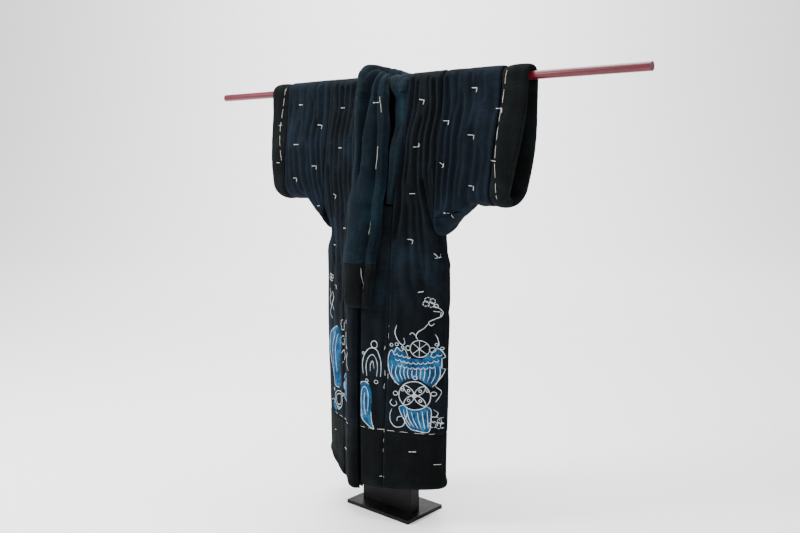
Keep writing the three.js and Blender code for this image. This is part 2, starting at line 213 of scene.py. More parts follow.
def inner_edge(side, s):
    arc = math.pi * 0.5 * OVER_ROD
    if s <= 0:
        z = ROD_Z + s * DROP
        seam = left_seam(z) if side > 0 else right_seam(z)
        return u_at(middle(z) + seam, z, -1)[1]
    past = arc + (s - 1) * DROP if s > 1 else (s - 0.5) * math.pi * OVER_ROD
    reach = arc + NECK_DROP
    if past < 0:
        x = mix(NECK_HALF, NECK_HALF - 8, -past / arc)
    else:
        x = NECK_HALF * math.sqrt(max(0, 1 - (past / reach) ** 2))
    z = min(ROD_Z, ROD_Z - (s - 1) * DROP) if s > 1 else ROD_Z
    return u_at(middle(z) + side * x, z, 1 if s > 1 else -1)[1]


def sleeve_bottom(x):
    return mix(FOOT, 1245, clamp((x - ARMHOLE) / (GUSSET_OUT - ARMHOLE)))


def ring_point(side, x, q):
    """The skin round a sleeve: q is 0 at the lower edge, and below zero in front."""
    face = -1 if q < 0 else 1
    share = min(1, abs(q))
    bottom = sleeve_bottom(x)
    z = bottom + (ROD_Z - bottom) * share ** 1.6
    over = max(0, abs(q) - 1) * math.pi
    if over > 0:
        top = ROD_Z + OVER_ROD * math.sin(over)
        return Vector((middle(ROD_Z) + side * x, face * OVER_ROD * math.cos(over), top))
    out = clamp((x - ARMHOLE) / (SLEEVE_END - ARMHOLE))
    lean = 52 * out ** 3 * ((ROD_Z - z) / (ROD_Z - 1245)) ** 2
    return Vector((middle(z) + side * (x - lean), face * sleeve_half(z, bottom), z))


def gusset_share(x):
    return mix(0.285, 0.012, clamp((x - ARMHOLE) / (GUSSET_OUT - ARMHOLE)))


def world(p):
    return Vector((p.x + HUNG_X, p.y + HUNG_Y, p.z)) / 1000


# ---- materials ----
def linear(hex_colour):
    parts = [int(hex_colour[i:i + 2], 16) / 255 for i in (1, 3, 5)]
    return tuple(c / 12.92 if c <= 0.04045 else ((c + 0.055) / 1.055) ** 2.4 for c in parts) + (1.0,)


def node(tree, kind, settings=None, values=None, links=None):
    """Adds a node with its settings, its socket values and the outputs that feed its sockets."""
    n = tree.nodes.new(kind)
    for key, value in (settings or {}).items():
        setattr(n, key, value)
    for key, value in (values or {}).items():
        n.inputs[key].default_value = value
    for key, output in (links or {}).items():
        tree.links.new(output, n.inputs[key])
    return n


def new_material(name):
    """A material, its node tree, its shader, and the place on the object in metres."""
    material = bpy.data.materials.new(name)
    material.use_nodes = True
    tree = material.node_tree
    at = node(tree, "ShaderNodeTexCoord").outputs["Object"]
    return material, tree, tree.nodes["Principled BSDF"], at


def fit(tree, shader, values, links):
    """Sets the shader's plain values and feeds its other sockets."""
    for key, value in values.items():
        shader.inputs[key].default_value = value
    for key, output in links.items():
        tree.links.new(output, shader.inputs[key])


def speckle(tree, at, scale, detail, roughness=0.5):
    """The value of a noise; a scale of three numbers stretches it along each axis."""
    if isinstance(scale, tuple):
        at = node(tree, "ShaderNodeMapping", values={"Scale": scale}, links={"Vector": at}).outputs[0]
        scale = 1.0
    values = {"Scale": scale, "Detail": detail, "Roughness": roughness}
    return node(tree, "ShaderNodeTexNoise", values=values, links={"Vector": at}).outputs["Fac"]


def bands(tree, at, direction, scale, distortion=0.0):
    return node(tree, "ShaderNodeTexWave", {"bands_direction": direction},
                {"Scale": scale, "Distortion": distortion}, {"Vector": at}).outputs["Fac"]


def blend(tree, share, part, whole):
    """part times a share, added to whole."""
    return node(tree, "ShaderNodeMath", {"operation": "MULTIPLY_ADD"}, {1: share},
                {0: part, 2: whole}).outputs[0]


def between(tree, value, low, high):
    return node(tree, "ShaderNodeMapRange", values={"To Min": low, "To Max": high},
                links={"Value": value}).outputs[0]


def relief(tree, height, strength, distance, under=None):
    """A bump of a depth in metres, laid over another bump if one is given."""
    links = {"Height": height, "Normal": under} if under else {"Height": height}
    return node(tree, "ShaderNodeBump", values={"Strength": strength, "Distance": distance},
                links=links).outputs[0]


def ramp_node(tree, factor, *stops):
    n = node(tree, "ShaderNodeValToRGB", links={"Fac": factor})
    while len(n.color_ramp.elements) < len(stops):
        n.color_ramp.elements.new(0.5)
    for element, (position, colour) in zip(n.color_ramp.elements, stops):
        element.position = position
        element.color = linear(colour)
    return n.outputs["Color"]


THREAD_PITCH = 0.001
WAVES_PER_TURN = 20
WEAVE_SCALE = 2 * math.pi / THREAD_PITCH / WAVES_PER_TURN


def cotton(name, deep, middle_tone, faded_and_highlight_tone, roughness, nap=0.045):
    """Hand-woven indigo cotton: clouds of uneven dye, streaks of thick and thin yarn along both
    threads, a fine plain weave in the bump, a painted highlight that makes convex ridges paler (light on
    the fold ridges, with some rubbed wear), and a soft nap."""
    material, tree, shader, at = new_material(name)
    uv = node(tree, "ShaderNodeTexCoord").outputs["UV"]
    clouds = speckle(tree, at, 5.5, 5.0, 0.62)
    warp = speckle(tree, uv, (420.0, 9.0, 1.0), 3.0)
    weft = speckle(tree, uv, (14.0, 380.0, 1.0), 3.0)
    yarn = node(tree, "ShaderNodeMath", {"operation": "ADD"}, links={0: warp, 1: weft}).outputs[0]
    tone = blend(tree, 0.30, yarn, clouds)
    base = ramp_node(tree, tone, (0.52, deep), (0.78, middle_tone), (1.0, faded_and_highlight_tone))
    # Painted highlight: high pointiness on convex ridges mixes the colour toward the pale tone, for light
    # on the fold ridges together with some rubbed wear.
    ridge_pointiness = node(tree, "ShaderNodeNewGeometry").outputs["Pointiness"]
    ridge_highlight_and_wear = node(tree, "ShaderNodeMapRange", values={"From Min": 0.5, "From Max": 0.56, "To Max": 0.12},
                links={"Value": ridge_pointiness})
    paler = node(tree, "ShaderNodeMix", {"data_type": "RGBA"}, {7: linear(faded_and_highlight_tone)},
                 {0: ridge_highlight_and_wear.outputs[0], 6: base})
    across = bands(tree, uv, "X", WEAVE_SCALE, 1.2)
    along = bands(tree, uv, "Y", WEAVE_SCALE, 1.2)
    weave = node(tree, "ShaderNodeMath", {"operation": "MULTIPLY"}, links={0: across, 1: along})
    fine = relief(tree, blend(tree, 0.8, yarn, weave.outputs[0]), 0.55, 0.0006)
    cockle = speckle(tree, uv, (34.0, 9.0, 1.0), 4.0)
    fit(tree, shader,
        {"Specular IOR Level": 0.06, "Sheen Weight": nap, "Sheen Roughness": 0.55,
         "Sheen Tint": linear("#5f7480")},
        {"Base Color": paler.outputs[2], "Normal": relief(tree, cockle, 0.5, 0.006, fine),
         "Roughness": between(tree, yarn, roughness - 0.08, roughness + 0.06)})
    return material


indigo = cotton("indigo_cotton_deep_dyed", "#030506", "#06090c", "#0d151c", 0.95)
navy = cotton("indigo_cotton_sleeves", "#03060a", "#060b11", "#0e1721", 0.95)
collar_cotton = cotton("indigo_cotton_collar", "#03080b", "#070f15", "#0f2028", 0.92)
black_cotton = cotton("black_cotton_bands", "#030404", "#060808", "#101314", 0.96, nap=0.03)


def thread_material(name, shade, light):
    """Undyed cotton thread: warm white with a little soiling and a twisted, matt surface."""
    material, tree, shader, at = new_material(name)
    soiled = ramp_node(tree, speckle(tree, at, 60.0, 3.0), (0.3, shade), (0.62, light))
    twist = bands(tree, at, "DIAGONAL", 260.0)
    fit(tree, shader, {"Roughness": 0.85},
        {"Base Color": soiled, "Normal": relief(tree, twist, 0.5, 0.0005)})
    return material


thread = thread_material("undyed_cotton_thread", "#b9b8ae", "#e8e7df")
resist = thread_material("paste_resist_line", "#7d8a91", "#b9c1c4")


def brushed_dye(name, dark, bright, pale):
    """Blue brushed into the open places of a paste-resist design: pools of stronger colour, streaks
    of the yarn, and paler places where little dye was left."""
    material, tree, shader, at = new_material(name)
    pools = speckle(tree, at, 26.0, 5.0, 0.65)
    yarn = speckle(tree, at, (420.0, 60.0, 30.0), 2.0)
    base = ramp_node(tree, blend(tree, 0.35, yarn, pools), (0.48, dark), (0.7, bright), (0.95, pale))
    fit(tree, shader, {"Roughness": 0.95, "Specular IOR Level": 0.08},
        {"Base Color": base, "Normal": relief(tree, yarn, 0.5, 0.0008)})
    return material


blue_dye = brushed_dye("brushed_blue_dye", "#07192c", "#10395a", "#2a6984")


def lacquer():
    """Red lacquered wood: deep clear red, faint long waviness under a thin gloss coat, fine dust."""
    material, tree, shader, at = new_material("red_lacquered_wood")
    grain = speckle(tree, at, (3.0, 60.0, 60.0), 4.0)
    base = ramp_node(tree, grain, (0.3, "#3c0411"), (0.6, "#540819"), (0.8, "#610d20"))
    dust = speckle(tree, at, 90.0, 3.0)
    fit(tree, shader, {"Specular IOR Level": 0.3, "Coat Weight": 0.1, "Coat Roughness": 0.12},
        {"Base Color": base, "Roughness": between(tree, dust, 0.28, 0.34),
         "Normal": relief(tree, grain, 0.04, 0.0006)})
    return material


def painted_steel():
    """Satin black paint on the stand: an even spray with fine orange peel, and paler scuffs."""
    material, tree, shader, at = new_material("satin_black_painted_metal")
    peel = speckle(tree, at, 340.0, 2.0)
    scuffs = speckle(tree, at, 24.0, 6.0, 0.7)
    base = ramp_node(tree, scuffs, (0.4, "#060607"), (0.66, "#0b0b0c"), (0.8, "#1a1a1c"))
    fit(tree, shader, {"Specular IOR Level": 0.1},
        {"Base Color": base, "Roughness": between(tree, scuffs, 0.32, 0.58),
         "Normal": relief(tree, peel, 0.12, 0.0004)})
    return material


# ---- soft folds ----
# Each fold is a line of (x, z) places in world millimetres, with its depth and half width.
def distance_to(line, x, z):
    best = 1e9
    for (x0, z0), (x1, z1) in zip(line, line[1:]):
        dx, dz = x1 - x0, z1 - z0
        t = clamp(((x - x0) * dx + (z - z0) * dz) / (dx * dx + dz * dz))
        best = min(best, math.hypot(x - x0 - t * dx, z - z0 - t * dz))
    return best


def fold_height(folds, x, z):
    """Each fold is a valley with a low shoulder on both sides."""
    total = 0.0
    for line, depth, width in folds:
        reach = 2.6 * width
        if min(p[0] for p in line) - reach < x < max(p[0] for p in line) + reach:
            if min(p[1] for p in line) - reach < z < max(p[1] for p in line) + reach:
                d = distance_to(line, x, z) / width
                total -= depth * (math.exp(-2.2 * d * d) - 0.25 * math.exp(-(d - 1.5) ** 2 * 2))
    return total


def ripple(x, y, z, scale, seed):
    return noise.noise(Vector((x * scale[0], y * 0.006, z * scale[1])) + Vector((seed, seed * 0.7, 0)))


def tie_dimples(places, x, z, depth, width):
    total = 0.0
    for tx, tz in places:
        if abs(x - tx) < 3 * width and abs(z - tz) < 3 * width:
            total -= depth * math.exp(-((x - tx) ** 2 + (z - tz) ** 2) / width ** 2)
    return total


# ---- building cloth ----
pieces = {}


def outward(bm):
    """Turns a sheet so that its front faces forward and its back faces backward."""
    middle_y = HUNG_Y / 1000
    total = sum(f.normal.y * (f.calc_center_median().y - middle_y) * f.calc_area() for f in bm.faces)
    if total < 0:
        bmesh.ops.reverse_faces(bm, faces=bm.faces[:])
        bm.normal_update()


def new_object(name, bm, material):
    mesh = bpy.data.meshes.new(name)
    bm.to_mesh(mesh)
    bm.free()
    mesh.shade_smooth()
    obj = bpy.data.objects.new(name, mesh)
    bpy.context.collection.objects.link(obj)
    mesh.materials.append(material)
    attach(obj, "root")
    return obj


def edge_sink(a, b, soft, size):
    """How far the outer face drops toward a piece's four edges, in millimetres. soft gives the depth
    at a=0, a=1, b=0 and b=1, and size is the piece's width and length."""
    sink = 0.0
    for t, depth, span in ((a, soft[0], size[0]), (1 - a, soft[1], size[0]),
                           (b, soft[2], size[1]), (1 - b, soft[3], size[1])):
        if depth:
            sink += depth * (1 - quarter_round(t * span / (2.6 * depth)))
    return sink


def laid_grid(counts, size, place):
    """A grid laid on a skin, with texture places in metres. place turns the shares a and b, across
    and along the piece, into a point; size is the piece's width and length in millimetres."""
    bm = bmesh.new()
    bmesh.ops.create_grid(bm, x_segments=counts[0], y_segments=counts[1], size=0.5)
    shares = {v: (v.co.x + 0.5, v.co.y + 0.5) for v in bm.verts}
    uv = bm.loops.layers.uv.new("cloth")
    for face in bm.faces:
        for loop in face.loops:
            a, b = shares[loop.vert]
            loop[uv].uv = (a * size[0] / 1000, b * size[1] / 1000)
    for v in bm.verts:
        v.co = world(place(*shares[v]))
    return bm, shares


def cloth(name, counts, size, place, lift, soft, material):
    """A padded sheet: a grid laid on its skin, lifted into its folds, then given its thickness."""
    bm, shares = laid_grid(counts, size, place)
    bm.normal_update()
    outward(bm)
    moves = []
    for v in bm.verts:
        a, b = shares[v]
        at = v.co * 1000
        moves.append(v.normal * (lift(at, a, b) - edge_sink(a, b, soft, size)) / 1000)
    for v, move in zip(bm.verts, moves):
        v.co += move
    bm.normal_update()
    bmesh.ops.solidify(bm, geom=bm.faces[:], thickness=PAD / 1000)
    obj = new_object(name, bm, material)
    pieces[name] = obj
    return obj


# ---- the folds of this garment, in world millimetres ----
# Long hanging folds of the wearer's left front, and the fan that runs from the sleeve to the gusset.
left_folds = [
    ([(287, 1730), (282, 1560), (279, 1400), (281, 1290)], 7, 11),
    ([(150, 1700), (152, 1500), (140, 1350), (128, 1240), (118, 1120)], 11, 11),
    ([(176, 1690), (170, 1480), (160, 1330)], 6, 9),
    ([(206, 1560), (198, 1400), (204, 1270), (216, 1120), (236, 990)], 8, 11),
    ([(222, 1700), (228, 1560), (222, 1400), (232, 1260)], 6, 10),
    ([(250, 1690), (256, 1520), (246, 1380), (254, 1250), (268, 1110)], 8, 11),
    ([(158, 1240), (164, 1130), (180, 1000), (196, 880)], 6, 13),
    ([(186, 1290), (190, 1170), (206, 1060), (232, 950)], 6, 12),
    ([(228, 1330), (242, 1210), (262, 1110), (284, 1040)], 9, 11),
    ([(262, 1370), (270, 1250), (280, 1160)], 7, 9),
    ([(130, 1060), (140, 900), (150, 760)], 5, 22),
    ([(240, 930), (256, 760), (262, 600)], 5, 26),
    ([(150, 700), (160, 520), (150, 380)], 4, 28),
    ([(210, 640), (214, 500), (206, 380)], 4, 26),
    ([(118, 1020), (112, 880), (104, 740)], 4, 12),
]
right_folds = [
    ([(-150, 1700), (-152, 1560), (-144, 1400), (-132, 1250)], 7, 11),
    ([(-182, 1690), (-180, 1520), (-176, 1330), (-160, 1180)], 7, 11),
    ([(-214, 1690), (-218, 1500), (-210, 1330), (-196, 1160), (-176, 1010)], 8, 12),
    ([(-246, 1700), (-244, 1520), (-246, 1340), (-238, 1180)], 7, 10),
    ([(-122, 1500), (-110, 1340), (-104, 1200), (-118, 1040)], 6, 12),
    ([(-268, 1380), (-262, 1240), (-250, 1120), (-226, 1000)], 8, 11),
    ([(-150, 1180), (-160, 1020), (-170, 860)], 5, 18),
    ([(-230, 1010), (-240, 840), (-236, 660)], 5, 24),
    ([(-190, 820), (-186, 640), (-180, 460)], 4, 26),
    ([(-250, 620), (-244, 480), (-236, 380)], 4, 24),
]
sleeve_folds = [
    ([(312, 1700), (318, 1580), (314, 1450), (302, 1320), (288, 1230)], 9, 12),
    ([(338, 1560), (342, 1470), (330, 1320), (296, 1180)], 8, 12),
    ([(352, 1712), (356, 1640), (352, 1590)], 5, 9),
    ([(372, 1640), (380, 1520), (374, 1400), (352, 1270), (306, 1150)], 9, 13),
    ([(398, 1470), (394, 1380), (372, 1270), (330, 1170)], 7, 13),
    ([(412, 1705), (418, 1600), (416, 1540)], 4, 11),
    ([(440, 1560), (446, 1450), (434, 1340), (398, 1240), (352, 1180)], 6, 15),
    ([(478, 1440), (470, 1350), (444, 1270), (404, 1225)], 6, 15),
    ([(462, 1706), (468, 1620)], 4, 12),
    ([(506, 1640), (512, 1510), (504, 1400), (486, 1290)], 5, 16),
    ([(326, 1700), (330, 1640)], 4, 8),
]
# The same folds on the other sleeve, mirrored a little off the middle and shallower.
sleeve_folds_right = [([(-16 - x, z) for x, z in line], 0.7 * depth, width)
                      for line, depth, width in sleeve_folds]
# Where the tying stitches pull the padding in.
tie_left = [(204, 1625), (198, 1456), (182, 1284), (176, 1113), (214, 919), (262, 1056), (270, 840),
            (306, 1391)]
tie_right = [(-207, 1614), (-202, 1456), (-221, 1269), (-234, 1066), (-200, 905), (-120, 1150)]
tie_sleeve_left = [(318, 1547), (435, 1657), (434, 1494), (443, 1317), (335, 1216), (306, 1391)]
tie_sleeve_right = [(-463, 1636), (-339, 1548), (-476, 1472), (-358, 1383), (-472, 1332), (-339, 1214)]


def hanging(folds, ties, seed):
    """Folds in front, the same ones shifted behind, a slow ripple, and a dimple at each tie."""
    behind = [([(x * 0.96 + 9, z) for x, z in line], depth * 0.8, width * 1.15)
              for line, depth, width in folds]

    def lift(at, a, b):
        x, z = at.x + 5 * math.sin(at.z / 71) + 3 * math.sin(at.z / 29), at.z
        in_front = at.y < HUNG_Y
        quiet = 1 - ramp(z, ROD_Z - 5, ROD_Z + 34)
        height = fold_height(folds if in_front else behind, x, z)
        height += 2.6 * ripple(x, at.y, z, (0.016, 0.0035), seed)
        height += 1.1 * ripple(x, at.y, z, (0.045, 0.008), seed + 4)
        height += 0.35 * ripple(x, at.y, z, (0.16, 0.03), seed + 9)
        return (height + tie_dimples(ties, x, z, 5, 17)) * mix(0.45, 1, quiet)
    return lift


# ---- the body strips ----
S_LOW = (BAND_TOP - ROD_Z) / DROP
FINE = 1.0


def count(n):
    return max(4, int(n * FINE))


def body_place(side):
    def place(a, b):
        s = mix(S_LOW, 1 - S_LOW, b)
        return body_point(side, mix(inner_edge(side, s), NEAR_SEAM, a), s)
    return place


def build_body():
    sides = ((1, "left", left_folds, tie_left), (-1, "right", right_folds, tie_right))
    for side, word, folds, ties in sides:
        piece = cloth("padded_body_" + word, (count(58), count(330)), (300, 2780), body_place(side),
                      hanging(folds, ties, 3 + side), (5, 6, 3, 3), indigo)
        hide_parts("body_" + word)


def hem_place(side, face):
    hem = hem_front if face < 0 else hem_back

    def place(a, b):
        nominal = mix(hem(0), HEM_TOP, b)
        start = inner_edge(side, (nominal - ROD_Z) / DROP) if face < 0 else 0.0005
        u = mix(start, NEAR_SEAM, a)
        rel = face_point(side, u, nominal, face).x - middle(nominal)
        return face_point(side, u, mix(hem(rel), HEM_TOP, b), face)
    return place


def hem_lift(at, a, b):
    roll = 5 * bump(b, 0.1, 0.13) - 7 * bump(b, 0.0, 0.05)
    slow = 2.2 * ripple(at.x, at.y, at.z, (0.02, 0.004), 12)
    return roll + slow + 0.8 * ripple(at.x, at.y, at.z, (0.06, 0.02), 15)


def build_hems():
    for side, word in ((1, "left"), (-1, "right")):
        for face, where in ((-1, "front"), (1, "back")):
            name = where + "_" + word
            piece = cloth("padded_hem_" + name, (count(44), count(44)), (300, 225),
                          hem_place(side, face), hem_lift, (4, 8, 9, 3), black_cotton)
            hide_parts("hem_" + name)


# ---- the overlaps ----
def on_front(rel, z):
    side, u = u_at(middle(z) + rel, z, -1)
    return face_point(side, u, z, -1)


def strip_place(from_line, to_line, low, high):
    """A strip of the front between two lines; low is a height or a hem function of the distance."""
    def place(a, b):
        bottom = low(0) if callable(low) else low
        nominal = mix(bottom, high, b)
        rel = mix(from_line(nominal), to_line(nominal), a)
        z = mix(low(rel), high, b) if callable(low) else nominal
        return on_front(rel, z)
    return place


def rel_of(at):
    return at.x - HUNG_X - middle(at.z)


def okumi_edge(z):
    return slant(z, -14, -22)


def tucked_edge(z):
    return slant(z, -74, 72)


okumi_folds = [
    ([(-118, 800), (-112, 660), (-118, 520), (-112, 380)], 3, 22),
    ([(30, 900), (36, 760), (28, 600)], 4, 22),
    ([(92, 960), (84, 840), (80, 700), (84, 560)], 5, 9),
    ([(60, 640), (52, 500), (60, 380)], 3, 20),
]


def overlap_pull(at, slow_seed, quick_seed):
    slow = 2.2 * ripple(at.x, at.y, at.z, (0.02, 0.004), slow_seed)
    quick = 0.9 * ripple(at.x, at.y, at.z, (0.06, 0.012), quick_seed)
    return slow + quick + fold_height(okumi_folds, at.x, at.z)


def right_overlap(at, a, b):
    rounding = 7 * bump(a, 0.62, 0.5) - 10 * bump(a, 1.0, 0.16)
    return okumi_lift(rel_of(at)) + rounding + overlap_pull(at, 21, 24)


def left_overlap(at, a, b):
    return tucked_lift(rel_of(at)) + overlap_pull(at, 27, 29)


def build_overlaps():
    for word, start, end, lift, soft in (
            ("right", right_seam, okumi_edge, right_overlap, (8, 6, 3, 3)),
            ("left", tucked_edge, left_seam, left_overlap, (4, 7, 3, 3))):
        piece = cloth("padded_okumi_" + word, (count(30), count(120)), (130, 872),
                      strip_place(start, end, BAND_TOP, OKUMI_TOP), lift, soft, indigo)
        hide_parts("okumi_" + word)
    for word, start, end, lift, soft in (
            ("right", right_seam, okumi_edge, right_overlap, (7, 6, 9, 3)),
            ("left", tucked_edge, left_seam, left_overlap, (4, 7, 9, 3))):
        piece = cloth("padded_hem_okumi_" + word, (count(30), count(44)), (130, 240),
                      strip_place(start, end, hem_front, HEM_TOP), lift, soft, black_cotton)
        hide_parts("hem_okumi_" + word)


# ---- sleeves, gussets and cuffs ----
def sleeve_place(side):
    def place(a, b):
        x = mix(ARMHOLE + 0.5, SLEEVE_SEAM - 0.2, a)
        start = gusset_share(x) + 0.003 if x < GUSSET_OUT else 0.0
        half = clamp(abs(b - 0.5) * 2)
        q = mix(TOP_OF_RING, start, half)
        return ring_point(side, x, -q if b < 0.5 else q)
    return place


def gusset_place(side):
    def place(a, b):
        x = mix(ARMHOLE + 1, GUSSET_OUT - 1, a)
        return ring_point(side, x, mix(-1, 1, b) * gusset_share(x))
    return place


def gusset_lift(at, a, b):
    folds = sleeve_folds if at.x > 0 else sleeve_folds_right
    return 1.6 * ripple(at.x, at.y, at.z, (0.03, 0.02), 41) + 0.7 * fold_height(folds, at.x, at.z)


def build_sleeves():
    for side, word, folds, ties in ((1, "left", sleeve_folds, tie_sleeve_left),
                                    (-1, "right", sleeve_folds_right, tie_sleeve_right)):
        piece = cloth("padded_sleeve_" + word, (count(50), count(190)), (250, 1100), sleeve_place(side),
                      hanging(folds, ties, 31 + side), (6, 5, 0, 0), navy)
        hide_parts("sleeve_" + word)
        piece = cloth("padded_gusset_" + word, (count(26), count(40)), (130, 250), gusset_place(side),
                      gusset_lift, (2, 0, 2, 2), navy)
        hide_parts("gusset_" + word)


def ring_inset(side, x, q, depth):
    p = ring_point(side, x, q)
    before = ring_point(side, x, max(0.0001 - TOP_OF_RING, q - 0.001))
    after = ring_point(side, x, min(TOP_OF_RING - 0.0001, q + 0.001))
    out = Vector((0, after.z - before.z, before.y - after.y)).normalized()
    heart = min(ROD_Z, max(sleeve_bottom(x) + ROUND, p.z))
    if out.y * p.y + out.z * (p.z - heart) < 0:
        out.negate()
    return p - out * depth


def tube_cloth(name, counts, size, place, material, slot, closed_length=False):
    """A stuffed roll: a grid whose a runs once round the section and b along it, sewn up where a
    meets itself and closed at both ends, unless its length also meets itself."""
    bm, shares = laid_grid(counts, size, place)
    bmesh.ops.remove_doubles(bm, verts=bm.verts[:], dist=0.00005)
    if not closed_length:
        rims = [e for e in bm.edges if e.is_boundary]
        bmesh.ops.holes_fill(bm, edges=rims, sides=0)
    bmesh.ops.recalc_face_normals(bm, faces=bm.faces[:])
    obj = new_object(name, bm, material)
    pieces[name] = obj
    return obj


def cuff_place(side):
    def place(a, b):
        half = abs(b - 0.5) * 2
        q = mix(TOP_OF_RING, 0.004, half) * (-1 if b < 0.5 else 1)
        z = ring_point(side, SLEEVE_END, q).z
        roll = 36 - 12 * ramp(z, 1500, 1650)
        turn = 2 * math.pi * a
        across = 0.5 - 0.5 * math.cos(turn)
        x = SLEEVE_SEAM + 2 + (SLEEVE_END - SLEEVE_SEAM - 3) * across ** 0.8
        plump = (abs(math.sin(turn)) ** 0.55) * roll / 2
        depth = mix(12, roll / 2, across) - (plump if turn < math.pi else -plump)
        p = ring_inset(side, x, q, depth)
        push = 2.2 * ripple(x, p.y, p.z, (0.03, 0.011), 51)
        push += 1.2 * ripple(x, p.y, p.z, (0.05, 0.05), 57)
        return p + Vector((0, -push if p.y < 0 else push, 0))
    return place


def build_cuffs():
    for side, word in ((1, "left"), (-1, "right")):
        piece = tube_cloth("padded_cuff_" + word, (40, count(150)), (230, 1000), cuff_place(side),
                           black_cotton, "black_cloth", closed_length=True)
        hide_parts("cuff_" + word)


# ---- the collar ----
def under_collar(z):
    return mix(15.2, 0.8, ramp(z, 1244, 1310))


def front_normal(rel, z, radius=62):
    """The front skin and its normal; past the neck fold z runs on over the rod in an arch."""
    if z > NECK_FOLD:
        turn = min(1.9, (z - NECK_FOLD) / radius)
        start = on_front(rel, NECK_FOLD)
        back = start.y + radius * (1 - math.cos(turn))
        arch = Vector((start.x, back, NECK_FOLD + 1.2 * radius * math.sin(turn)))
        return arch, Vector((0, -math.cos(turn), math.sin(turn)))
    p = on_front(rel, z)
    across = on_front(rel + 3, z) - on_front(rel - 3, z)
    up = on_front(rel, z + 8) - on_front(rel, z - 8)
    n = across.cross(up).normalized()
    return p, n if n.y < 0 else -n


def collar_place(low, high, blunt_low, blunt_high):
    """The upper collar: a stuffed band that is a plump roll along its left two thirds, with a flatter,
    wrinkled flap along its right third, and a deep valley between two rolls near the neck."""
    def place(a, b):
        z = mix(low, high, b)
        end = 1.0
        if blunt_low:
            end = quarter_round((z - low) / 26)
        if blunt_high:
            end = min(end, quarter_round((high - z) / 12))
        turn = 2 * math.pi * a
        t = 0.5 - 0.5 * math.cos(turn)
        left, right = over_left(z), over_right(z)
        centre = (left + right) / 2
        rel = centre + (mix(left, right, t) - centre) * mix(0.82, 1, end)
        p, n = front_normal(rel, z)
        base = under_collar(z)
        if turn > math.pi:
            return p + n * (base + 1)
        flap = ramp(t, 0.66, 0.76)
        roll = 42 * math.sqrt(max(0, 1 - (t / 0.37 - 1) ** 2)) if t < 0.74 else 0
        flat = 15 + 7 * math.sin(math.pi * clamp((t - 0.6) / 0.4))
        height = mix(max(roll, 8), flat, flap) * min(1, (1 - t) * 9 + 0.12)
        two = ramp(z, 1290, 1450) * (1 - 0.75 * ramp(z, 1690, 1740))
        split = mix(0.34, 0.46, ramp(z, 1450, 1660))
        height -= two * 46 * math.exp(-((t - split) / mix(0.045, 0.1, ramp(z, 1450, 1660))) ** 2)
        wander = 2.5 * noise.noise(Vector((rel * 0.02, z * 0.01, 3)))
        wrinkle = math.sin((z + 0.7 * rel) / 13.0 + wander)
        height += flap * (1 - flap * 0.2) * 2.6 * wrinkle * bump(t, 0.85, 0.2)
        height -= 7 * math.exp(-((t - 0.71) / 0.022) ** 2)
        puckers = 1.1 * math.sin(z / 6.5) * (1 - flap)
        height += 1.6 * ripple(rel, 0, z, (0.03, 0.012), 61)
        height += puckers * noise.noise(Vector((rel * 0.02, z * 0.012, 8)))
        return p + n * (base + max(1.5, height) * end)
    return place


def arm_place(a, b):
    """The other arm of the collar, dropping behind the upper one and creased lengthways."""
    z = mix(UNDER_FOOT, UNDER_TOP, b)
    deep = 30 * ramp(z, 1420, 1580) * (1 - 0.6 * ramp(z, 1660, 1720))
    turn = 2 * math.pi * a
    t = 0.5 - 0.5 * math.cos(turn)
    rel = mix(over_right(z) + 1, left_seam(z) - 0.3, t)
    p, n = front_normal(rel, z, 60)
    if turn > math.pi:
        return p + n * (-17 - deep)
    plump = math.sqrt(math.sin(turn)) if math.sin(turn) > 0 else 0
    crease = 6 * math.exp(-((t - 0.45) / 0.12) ** 2) + 2 * ripple(rel, 0, z, (0.08, 0.01), 71)
    rise = 34 * ramp(z, 1630, 1680)
    return p + n * (rise - 17 - deep + mix(27, 14, ramp(z, 1640, 1690)) * plump - crease * plump)


def catmull(points, t):
    """A smooth curve through all the points."""
    at = clamp(t) * (len(points) - 1)
    i = min(int(at), len(points) - 2)
    f = at - i
    p0 = points[i - 1] if i > 0 else points[0] * 2 - points[1]
    p3 = points[i + 2] if i + 2 < len(points) else points[-1] * 2 - points[-2]
    p1, p2 = points[i], points[i + 1]
    return 0.5 * (2 * p1 + (p2 - p0) * f + (2 * p0 - 5 * p1 + 4 * p2 - p3) * f * f +
                  (3 * p1 - p0 - 3 * p2 + p3) * f ** 3)


# The middle of the neck roll, from the wearer's right collarbone round behind to the left.
neck_places = [(-74, -70, 1656), (-80, -62, 1690), (-94, -45, 1724), (-101, -5, 1743), (-80, 36, 1734),
               (-42, 52, 1720), (0, 55, 1710), (42, 52, 1708), (78, 36, 1712), (100, 4, 1712),
               (106, -26, 1700), (108, -42, 1682), (108, -46, 1656)]
neck_line = [Vector((middle(z) + x, y, z)) for x, y, z in neck_places]


def neck_place(a, b):
    at = catmull(neck_line, b)
    along = (catmull(neck_line, b + 0.004) - catmull(neck_line, b - 0.004)).normalized()
    tall = 31 * (1 - 0.5 * ramp(b, 0.5, 0.75)) + 14 * bump(b, 0.45, 0.3)
    radial = Vector((at.x - middle(at.z), at.y, 0))
    across = radial.cross(along).cross(along).normalized()
    up = along.cross(across).normalized()
    turn = 2 * math.pi * a
    soft = 1 + 0.05 * ripple(at.x, at.y, at.z, (0.05, 0.05), 81) + 0.02 * math.sin(b * 90)
    end = quarter_round(min(b, 1 - b) / 0.02 + 0.25)
    return at + (across * 22 * math.cos(turn) + up * tall * math.sin(turn)) * soft * end


